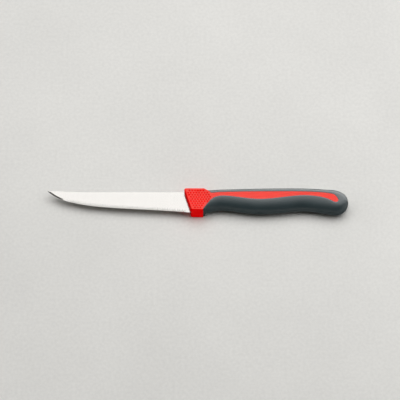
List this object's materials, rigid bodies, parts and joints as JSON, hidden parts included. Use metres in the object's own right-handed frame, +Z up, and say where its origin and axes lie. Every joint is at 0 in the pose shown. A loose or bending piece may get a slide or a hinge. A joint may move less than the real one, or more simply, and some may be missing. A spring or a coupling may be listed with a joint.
{
  "type": "vegetable knife",
  "caption": "Small serrated kitchen knife with a narrow pointed steel blade, a hard red core with a finger guard and dimpled thumb panels, and a soft dark grey grip moulded round it.",
  "frame": {"origin": "middle of the knife's length and width, on the table it lies on", "axes": "+X from the point to the butt, +Y from the edge to the spine, +Z up through the handle's thickness"},
  "size_m": [0.2312, 0.021, 0.013],
  "materials": {
    "steel": "satin ground stainless steel",
    "hard_red": "hard plastic, satin",
    "soft_grey": "soft elastomer, matt"
  },
  "bodies": {
    "root": {"blade": "steel", "handle_core": "hard_red", "soft_grip": "soft_grey"}
  },
  "joints": []
}
